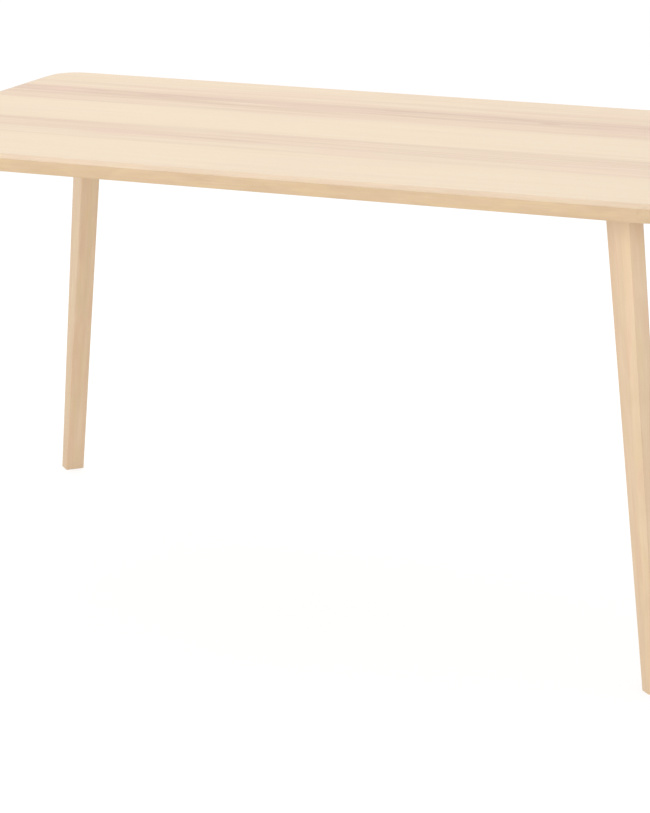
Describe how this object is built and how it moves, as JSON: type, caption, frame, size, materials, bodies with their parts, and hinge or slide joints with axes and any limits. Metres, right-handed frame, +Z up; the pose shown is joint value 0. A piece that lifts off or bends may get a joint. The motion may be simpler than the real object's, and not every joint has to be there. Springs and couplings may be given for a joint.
{
  "type": "communion table",
  "caption": "Plain pale-wood rectangular table: thin veneered top with bevelled rim and rounded corners on a slim hidden timber frame and splayed tapered legs.",
  "frame": {"origin": "on the floor, under the middle of the top", "axes": "+X along the top's long sides, +Y from the front long side to the back, +Z up"},
  "size_m": [1.4, 0.78, 0.75],
  "materials": {
    "ash_pale": "satin clear lacquer on ash veneer",
    "ash_streaked": "satin clear lacquer on ash veneer with greyer streaks",
    "backing_veneer": "sealed backing veneer",
    "lipping": "satin clear lacquer on solid birch",
    "leg_wood": "satin clear lacquer on solid birch",
    "frame_wood": "planed and sealed solid birch",
    "dowel_wood": "bare beech dowel",
    "chipboard": "raw chipboard",
    "bolt_steel": "blackened steel",
    "screw_steel": "bright zinc-plated steel",
    "insert_alloy": "zinc alloy"
  },
  "bodies": {
    "root": {"core_board": "chipboard", "underside_veneer": "backing_veneer", "top_veneer_leaf_1": "ash_pale", "top_veneer_leaf_2": "ash_streaked", "top_veneer_leaf_3": "ash_pale", "top_veneer_leaf_4": "ash_streaked", "top_veneer_leaf_5": "ash_pale", "lipping_front": "lipping", "lipping_back": "lipping", "lipping_left": "lipping", "lipping_right": "lipping", "lipping_corner_front_left": "lipping", "lipping_corner_front_right": "lipping", "lipping_corner_back_left": "lipping", "lipping_corner_back_right": "lipping", "leg_front_left": "leg_wood", "leg_front_right": "leg_wood", "leg_back_left": "leg_wood", "leg_back_right": "leg_wood", "side_rail_front": "frame_wood", "side_rail_back": "frame_wood", "end_rail_left": "frame_wood", "end_rail_right": "frame_wood", "corner_block_front_left": "frame_wood", "corner_block_front_right": "frame_wood", "corner_block_back_left": "frame_wood", "corner_block_back_right": "frame_wood", "leg_bolt_front_left": "bolt_steel", "leg_bolt_front_right": "bolt_steel", "leg_bolt_back_left": "bolt_steel", "leg_bolt_back_right": "bolt_steel", "washer_front_left": "screw_steel", "washer_front_right": "screw_steel", "washer_back_left": "screw_steel", "washer_back_right": "screw_steel", "threaded_insert_front_left": "insert_alloy", "threaded_insert_front_right": "insert_alloy", "threaded_insert_back_left": "insert_alloy", "threaded_insert_back_right": "insert_alloy", "leg_dowel_side_front_left": "dowel_wood", "leg_dowel_side_front_right": "dowel_wood", "leg_dowel_side_back_left": "dowel_wood", "leg_dowel_side_back_right": "dowel_wood", "leg_dowel_end_front_left": "dowel_wood", "leg_dowel_end_front_right": "dowel_wood", "leg_dowel_end_back_left": "dowel_wood", "leg_dowel_end_back_right": "dowel_wood", "rail_screw_front_left": "screw_steel", "rail_screw_front_right": "screw_steel", "rail_screw_back_left": "screw_steel", "rail_screw_back_right": "screw_steel", "block_screw_side_front_left": "screw_steel", "block_screw_side_front_right": "screw_steel", "block_screw_side_back_left": "screw_steel", "block_screw_side_back_right": "screw_steel", "block_screw_end_front_left": "screw_steel", "block_screw_end_front_right": "screw_steel", "block_screw_end_back_left": "screw_steel", "block_screw_end_back_right": "screw_steel"}
  },
  "joints": []
}
